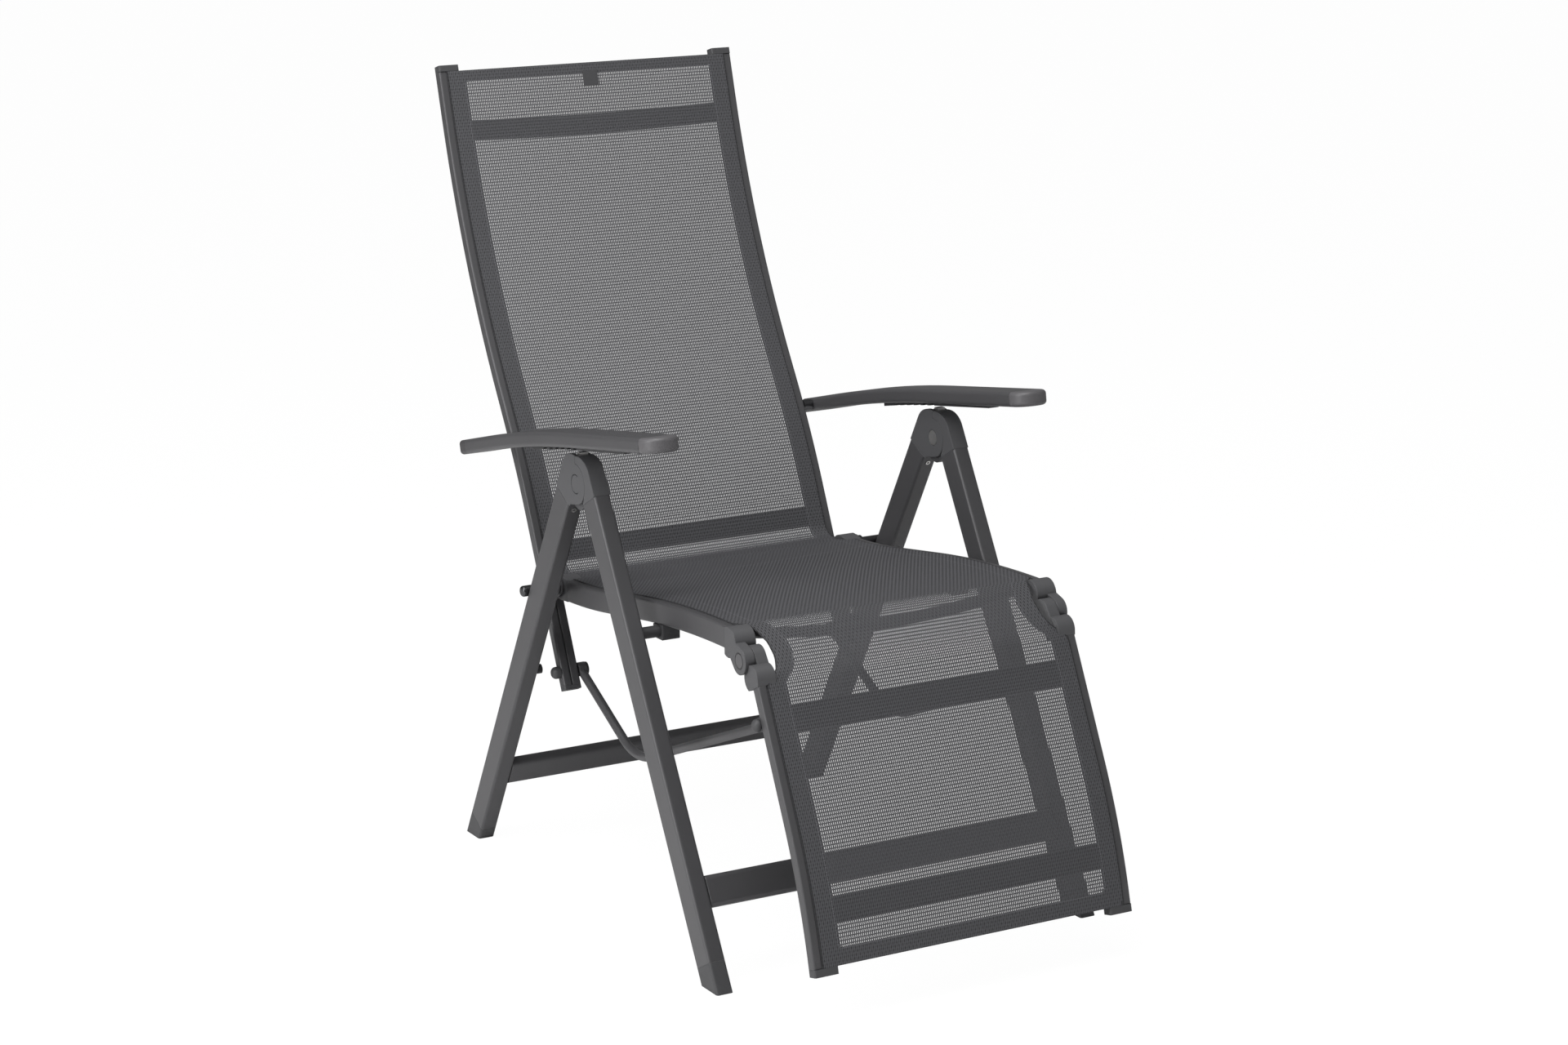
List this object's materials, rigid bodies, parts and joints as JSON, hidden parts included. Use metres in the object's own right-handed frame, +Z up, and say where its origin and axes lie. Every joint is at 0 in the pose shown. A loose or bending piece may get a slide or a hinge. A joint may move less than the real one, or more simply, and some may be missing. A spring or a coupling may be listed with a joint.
{
  "type": "reclining garden armchair",
  "caption": "Reclining garden armchair with a folding A-frame of flat tube, a mesh sling on a hinged back, seat and leg rest, and armrests that move with the back.",
  "frame": {"origin": "centre of the bounding box at floor level", "axes": "+X to the sitter's left, the sitter faces -Y, +Z up"},
  "size_m": [0.608, 1.0865, 1.1111],
  "materials": {
    "frame_metal": "fine powder coat, satin",
    "grey_plastic": "matte moulded",
    "dark_plastic": "matte moulded",
    "bright_steel": "zinc plated",
    "black_steel": "black zinc plated",
    "mesh_cloth": "woven PVC-coated polyester mesh",
    "welt_cord": "plain",
    "buffer_rubber": "plain"
  },
  "bodies": {
    "front_frame": {"front_leg_left": "frame_metal", "front_leg_right": "frame_metal", "front_crossbar": "frame_metal", "front_hub_left": "grey_plastic", "front_hub_right": "grey_plastic", "catch_pins": "bright_steel", "front_feet": "dark_plastic", "hub_pins": "bright_steel", "seat_pivot_pins": "dark_plastic"},
    "rear_frame": {"rear_leg_left": "frame_metal", "rear_leg_right": "frame_metal", "rear_crossbar": "frame_metal", "rear_hub_left": "grey_plastic", "rear_hub_right": "grey_plastic", "leg_screws": "bright_steel", "rear_feet": "dark_plastic", "leg_buffers": "buffer_rubber"},
    "seat": {"seat_rail_left": "frame_metal", "seat_rail_right": "frame_metal", "seat_front_bar": "frame_metal", "seat_sling": "mesh_cloth", "seat_welt_cords": "welt_cord", "bearing_blocks": "dark_plastic", "seat_knuckle_left": "grey_plastic", "seat_knuckle_right": "grey_plastic", "knuckle_pins": "grey_plastic", "recline_bolts": "black_steel", "seat_bosses": "grey_plastic"},
    "backrest": {"back_rail_left": "frame_metal", "back_rail_right": "frame_metal", "back_upper_bar": "frame_metal", "back_lower_bar": "frame_metal", "back_sling": "mesh_cloth", "back_welt_cords": "welt_cord", "back_end_caps": "dark_plastic", "hinge_plates": "frame_metal", "armrest_bolts": "black_steel", "back_rod_bolts": "dark_plastic", "sling_tab": "mesh_cloth"},
    "armrest_left": {"armrest_left": "frame_metal", "armrest_caps_left": "dark_plastic", "catch_plate_left": "dark_plastic"},
    "armrest_right": {"armrest_right": "frame_metal", "armrest_caps_right": "dark_plastic", "catch_plate_right": "dark_plastic"},
    "legrest": {"leg_rail_left": "frame_metal", "leg_rail_right": "frame_metal", "leg_upper_bar": "frame_metal", "leg_lower_bar": "frame_metal", "leg_sling": "mesh_cloth", "leg_welt_cords": "welt_cord", "leg_knuckle_left": "grey_plastic", "leg_knuckle_right": "grey_plastic", "leg_end_caps": "dark_plastic", "rod_lugs": "grey_plastic", "leg_rod_bolts": "dark_plastic"},
    "link_left": {"link_rod_left": "frame_metal"},
    "link_right": {"link_rod_right": "frame_metal"}
  },
  "joints": [
    {"name": "rear_fold", "type": "hinge", "parent": "front_frame", "child": "rear_frame", "pos_m": [0, -0.004, 0.599], "axis": [-1, 0, 0], "range_deg": [0, 57]},
    {"name": "seat_lift", "type": "hinge", "parent": "front_frame", "child": "seat", "pos_m": [0, -0.13142, 0.418], "axis": [1, 0, 0], "range_deg": [0, 8]},
    {"name": "recline", "type": "hinge", "parent": "seat", "child": "backrest", "pos_m": [0, 0.16988, 0.4154], "axis": [-1, 0, 0], "range_deg": [0, 22]},
    {"name": "legrest_lift", "type": "hinge", "parent": "seat", "child": "legrest", "pos_m": [0, -0.365, 0.4315], "axis": [-1, 0, 0], "range_deg": [0, 42.4]},
    {"name": "link_turn_left", "type": "hinge", "parent": "backrest", "child": "link_left", "pos_m": [0, 0.18099, 0.288], "axis": [1, 0, 0], "range_deg": [0, 18]},
    {"name": "link_turn_right", "type": "hinge", "parent": "backrest", "child": "link_right", "pos_m": [0, 0.18099, 0.288], "axis": [1, 0, 0], "range_deg": [0, 18]},
    {"name": "armrest_turn_left", "type": "hinge", "parent": "backrest", "child": "armrest_left", "pos_m": [0, 0.31997, 0.5955], "axis": [1, 0, 0], "range_deg": [0, 13]},
    {"name": "armrest_turn_right", "type": "hinge", "parent": "backrest", "child": "armrest_right", "pos_m": [0, 0.31997, 0.5955], "axis": [1, 0, 0], "range_deg": [0, 13]}
  ],
  "couplings": [
    {"joint": "legrest_lift", "follows": "recline", "ratio": 1.927},
    {"joint": "link_turn_left", "follows": "recline", "ratio": 0.815},
    {"joint": "link_turn_right", "follows": "recline", "ratio": 0.815},
    {"joint": "armrest_turn_left", "follows": "recline", "ratio": 0.588},
    {"joint": "armrest_turn_right", "follows": "recline", "ratio": 0.588}
  ]
}
